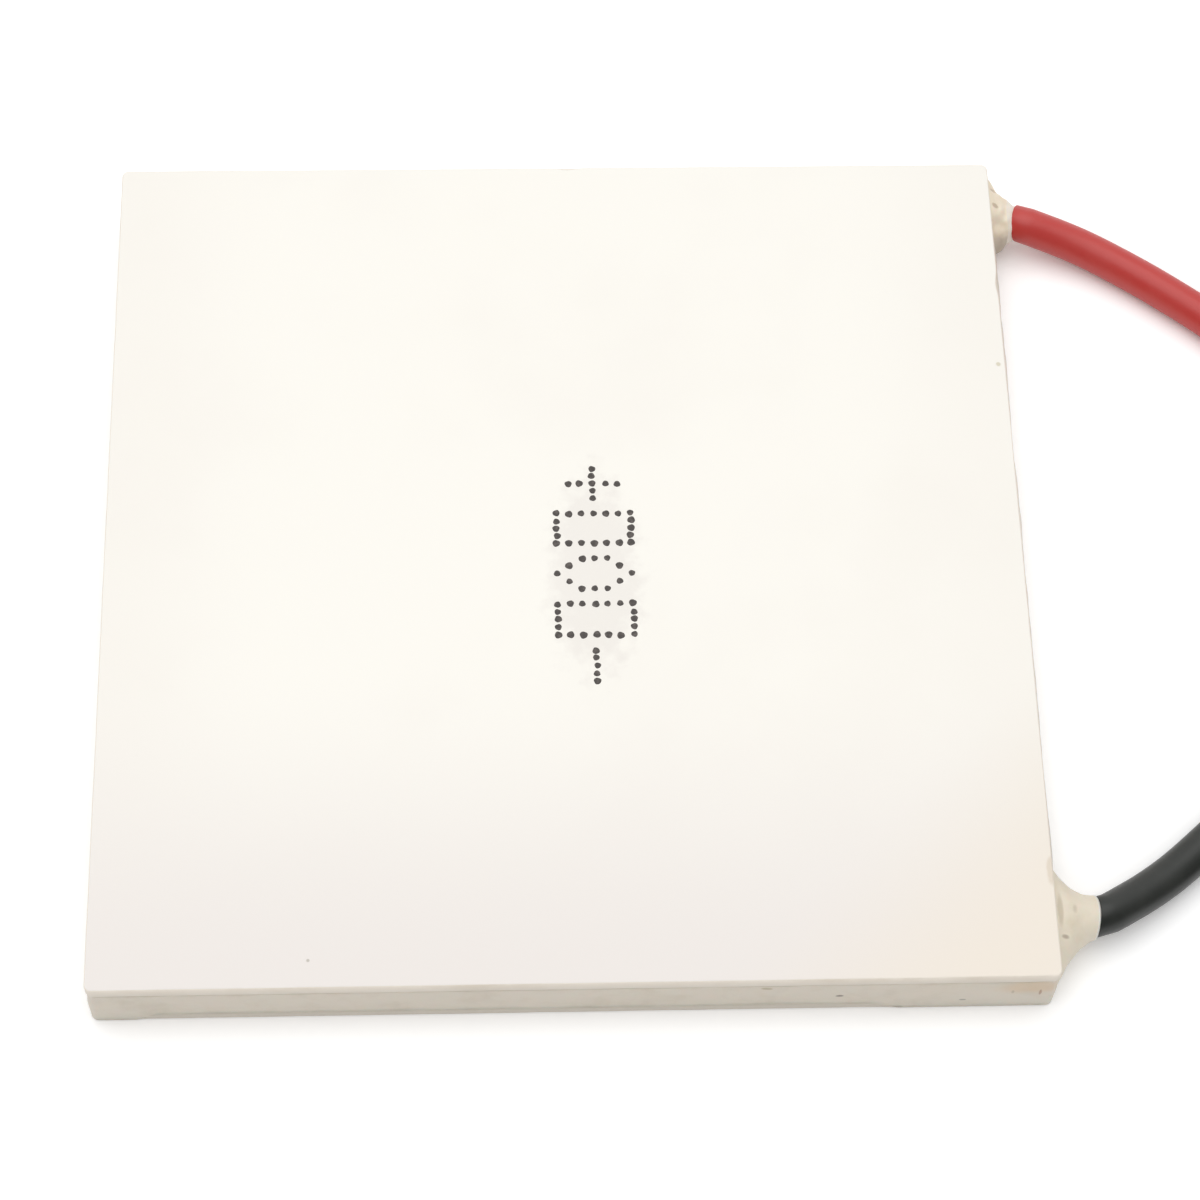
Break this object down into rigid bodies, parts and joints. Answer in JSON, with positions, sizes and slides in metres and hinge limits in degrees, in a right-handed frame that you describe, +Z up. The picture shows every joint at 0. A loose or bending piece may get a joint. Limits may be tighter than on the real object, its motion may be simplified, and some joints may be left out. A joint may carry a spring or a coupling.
{
  "type": "thermoelectric cooling module",
  "caption": "Flat square ceramic sandwich that pumps heat from its top face to its underside, with a sealed edge and red and black leads at one side.",
  "frame": {"origin": "centre of the underside, the hot plate's outer face", "axes": "+Z up through the stack to the cold plate, +X towards the side that the leads leave from, +Y towards the red lead's corner"},
  "size_m": [0.0831, 0.0552, 0.0038],
  "materials": {
    "alumina": "fired white alumina, ground flat, matt with a faint sheen",
    "silicone_sealant": "cream silicone, squeezed in and smoothed by hand",
    "red_pvc": "extruded PVC insulation, soft sheen",
    "black_pvc": "extruded PVC insulation, soft sheen",
    "tinned_strands": "tinned copper strands, bright solder skin",
    "tie_strip": "white coated wire strip",
    "copper_strands": "bare twisted copper strands",
    "copper_bridge": "stamped copper sheet, lightly oxidised",
    "solder": "tin alloy solder, dull bright",
    "p_type_pellet": "sawn bismuth telluride, p-type, dull metallic",
    "n_type_pellet": "sawn bismuth telluride, n-type, dull metallic"
  },
  "bodies": {
    "root": {"hot_plate": "alumina", "cold_plate": "alumina", "edge_seal": "silicone_sealant", "hot_solder": "solder", "cold_solder": "solder", "red_lead": "red_pvc", "red_lead_coil": "red_pvc", "red_lead_tail": "red_pvc", "red_lead_tip": "tinned_strands", "red_lead_tie": "tie_strip", "red_lead_seal": "silicone_sealant", "red_core_end": "copper_strands", "red_solder_joint": "solder", "red_terminal_pad": "copper_bridge", "black_lead": "black_pvc", "black_lead_coil": "black_pvc", "black_lead_tail": "black_pvc", "black_lead_tip": "tinned_strands", "black_lead_tie": "tie_strip", "black_lead_seal": "silicone_sealant", "black_core_end": "copper_strands", "black_solder_joint": "solder", "black_terminal_pad": "copper_bridge", "p_pellets_1": "p_type_pellet", "p_pellets_2": "p_type_pellet", "p_pellets_3": "p_type_pellet", "p_pellets_4": "p_type_pellet", "p_pellets_5": "p_type_pellet", "p_pellets_6": "p_type_pellet", "p_pellets_7": "p_type_pellet", "p_pellets_8": "p_type_pellet", "n_pellets_1": "n_type_pellet", "n_pellets_2": "n_type_pellet", "n_pellets_3": "n_type_pellet", "n_pellets_4": "n_type_pellet", "n_pellets_5": "n_type_pellet", "n_pellets_6": "n_type_pellet", "n_pellets_7": "n_type_pellet", "n_pellets_8": "n_type_pellet", "hot_bridges_1": "copper_bridge", "hot_bridges_2": "copper_bridge", "hot_bridges_3": "copper_bridge", "hot_bridges_4": "copper_bridge", "hot_bridges_5": "copper_bridge", "hot_bridges_6": "copper_bridge", "hot_bridges_7": "copper_bridge", "hot_bridges_8": "copper_bridge", "cold_bridges_1": "copper_bridge", "cold_bridges_2": "copper_bridge", "cold_bridges_3": "copper_bridge", "cold_bridges_4": "copper_bridge", "cold_bridges_5": "copper_bridge", "cold_bridges_6": "copper_bridge", "cold_bridges_7": "copper_bridge", "cold_bridges_8": "copper_bridge"}
  },
  "joints": []
}
